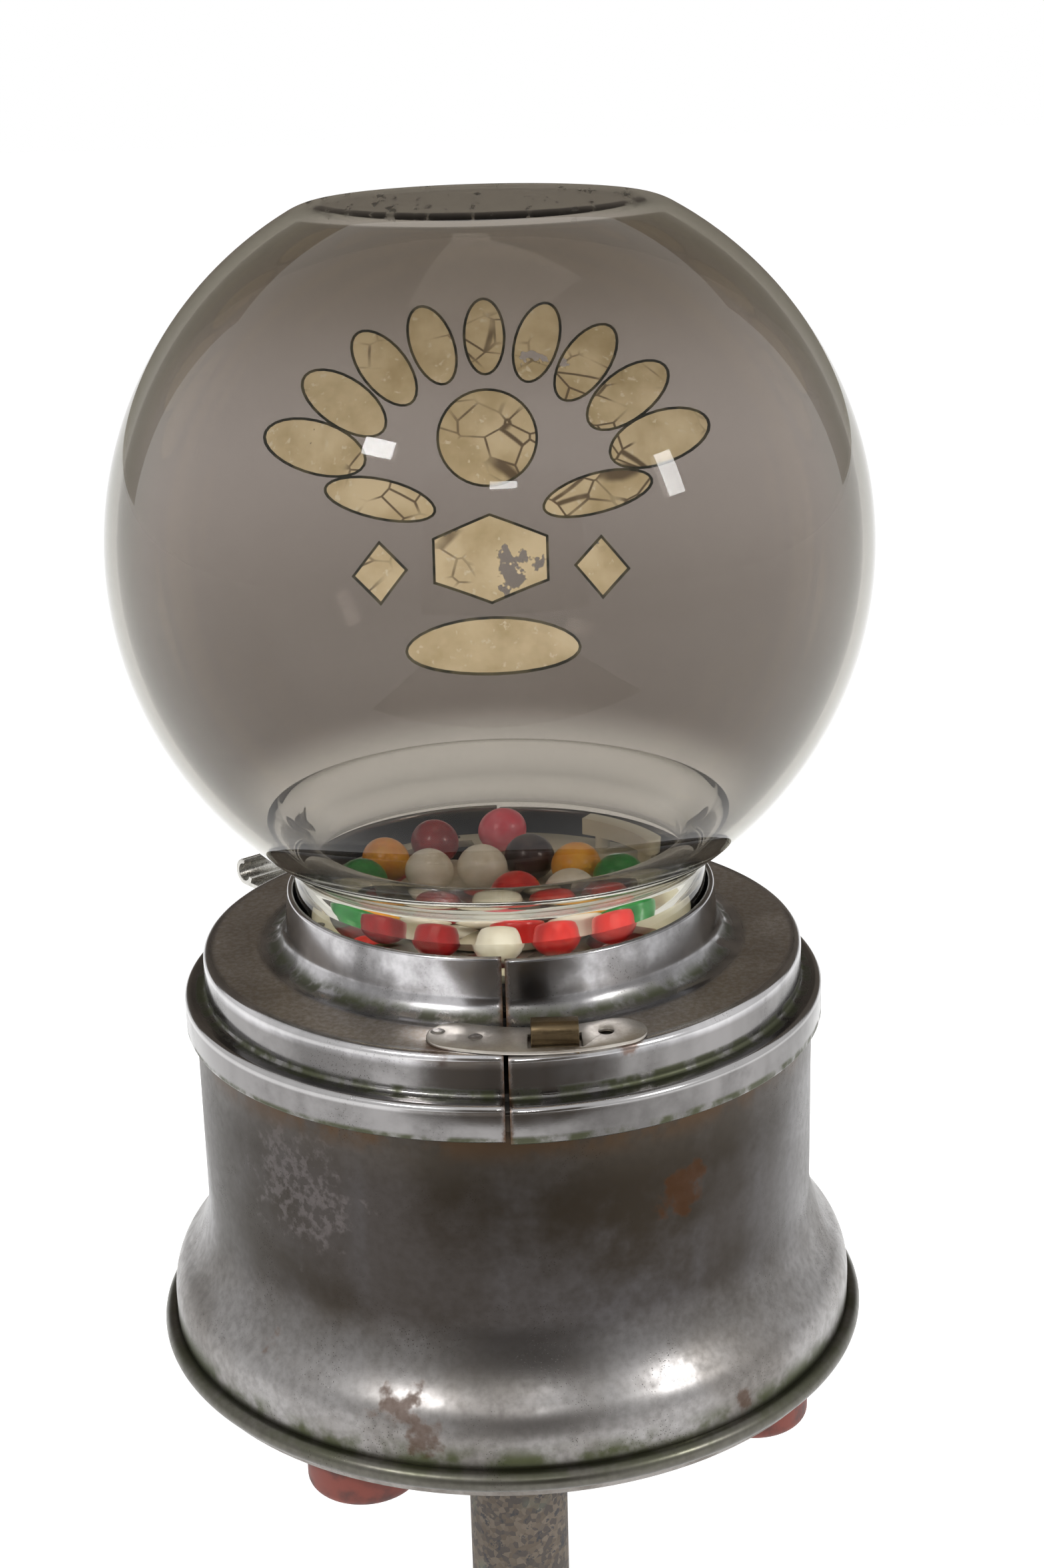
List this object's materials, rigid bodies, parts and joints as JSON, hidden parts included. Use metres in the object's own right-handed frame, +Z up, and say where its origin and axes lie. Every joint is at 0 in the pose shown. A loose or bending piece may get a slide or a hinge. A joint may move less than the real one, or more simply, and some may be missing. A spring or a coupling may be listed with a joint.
{
  "type": "gumball machine",
  "caption": "Coin-operated gumball machine: glass globe, hinged collar with hasp, flared round body, lever-driven gum wheel and outlet flap, on rubber feet over a pole.",
  "frame": {"origin": "centre of the pole's lower end, where a stand holds it", "axes": "+Z up along the pole and globe; -Y towards the hasp at the rear; +Y towards the coin lever and the outlet at the front; +X completes a right-handed frame"},
  "size_m": [0.203, 0.203, 0.4356],
  "materials": {
    "stone_finish": "speckled stone-effect paint, dull",
    "cast_iron": "as cast, grey",
    "steel": "dull",
    "red_rubber": "matt",
    "body_nickel": "darkened nickel plate, satin",
    "black_rubber": "matt",
    "glass": "clear, old, slightly green",
    "collar_chrome": "worn and tarnished",
    "nickel": "nickel plate, satin",
    "bronze": "dark bronze",
    "cream_enamel": "gloss enamel",
    "wheel_metal": "as cast, wiped bright",
    "flap_chrome": "bright",
    "candy_red": "candy gloss",
    "candy_dark_red": "candy gloss",
    "candy_pink": "candy gloss",
    "candy_orange": "candy gloss",
    "candy_green": "candy gloss",
    "candy_white": "candy gloss",
    "candy_black": "candy gloss"
  },
  "bodies": {
    "machine": {"pole": "stone_finish", "pipe_flange": "cast_iron", "flange_bolts": "steel", "flange_set_screw": "steel", "base_plate": "steel", "rubber_feet": "red_rubber", "foot_screws": "steel", "tie_rods": "steel", "body_shell": "body_nickel", "deck_plate": "cast_iron", "globe_seat": "cast_iron", "globe_gasket": "black_rubber", "globe": "glass", "collar_left": "collar_chrome", "collar_left_screws": "collar_chrome", "hinge_leaf_left": "steel", "hinge_rivets_left": "nickel", "hinge_pin": "nickel", "hasp": "nickel", "hasp_rivets": "steel", "wheel_pan": "cast_iron", "pan_screws": "nickel", "hopper_floor": "cream_enamel", "gum_guard": "cream_enamel", "spindle_bush": "bronze", "check_pawl_pin": "steel", "return_spring": "nickel", "spring_post": "steel", "gum_chute": "steel", "outlet_frame": "nickel", "outlet_screws": "steel", "flap_pin": "steel", "coin_slot_plate": "nickel", "coin_slot_screws": "steel", "coin_chute": "steel", "gumballs_red": "candy_red", "gumballs_dark_red": "candy_dark_red", "gumballs_pink": "candy_pink", "gumballs_orange": "candy_orange", "gumballs_green": "candy_green", "gumballs_white": "candy_white", "gumballs_black": "candy_black"},
    "hinged_collar": {"collar_right": "collar_chrome", "staple": "bronze", "hinge_leaf_right": "steel", "hinge_rivets_right": "nickel"},
    "coin_lever": {"coin_lever": "nickel", "finger_tab": "nickel", "tab_rivets": "steel", "drive_pawl_pin": "steel"},
    "drive_pawl": {"drive_pawl": "nickel"},
    "gum_wheel": {"gum_wheel": "wheel_metal", "spindle": "nickel", "ratchet_wheel": "nickel", "wheel_nut": "steel", "spindle_clip": "steel", "pocket_gumballs_red": "candy_red", "pocket_gumballs_white": "candy_white"},
    "check_pawl": {"check_pawl": "nickel"},
    "outlet_flap": {"outlet_flap": "flap_chrome"}
  },
  "joints": [
    {"name": "collar_swing", "type": "hinge", "parent": "machine", "child": "hinged_collar", "pos_m": [0, 0.0946, 0.22], "axis": [0, 0, 1], "range_deg": [0, 60], "deforming": ["hasp"]},
    {"name": "lever_turn", "type": "hinge", "parent": "machine", "child": "coin_lever", "pos_m": [0, 0, 0.2], "axis": [0, 0, -1], "range_deg": [0, 30], "stiffness_Nm_per_rad": 0.12, "springref_deg": -22.92, "deforming": ["return_spring"]},
    {"name": "wheel_turn", "type": "hinge", "parent": "machine", "child": "gum_wheel", "pos_m": [0, 0, 0.2], "axis": [0, 0, -1], "range_deg": [0, 30]},
    {"name": "drive_pawl_lift", "type": "hinge", "parent": "coin_lever", "child": "drive_pawl", "pos_m": [-0.01736, 0.02068, 0.207], "axis": [0, 0, 1], "range_deg": [0, 14], "stiffness_Nm_per_rad": 0.01, "springref_deg": -11.46},
    {"name": "check_pawl_lift", "type": "hinge", "parent": "machine", "child": "check_pawl", "pos_m": [0.00469, -0.02659, 0.207], "axis": [0, 0, 1], "range_deg": [0, 16]},
    {"name": "flap_swing", "type": "hinge", "parent": "machine", "child": "outlet_flap", "pos_m": [0, 0.09, 0.1828], "axis": [1, 0, 0], "range_deg": [0, 65]}
  ],
  "couplings": [
    {"joint": "wheel_turn", "follows": "lever_turn", "ratio": 1},
    {"joint": "check_pawl_lift", "follows": "lever_turn", "ratio": 0.5}
  ]
}
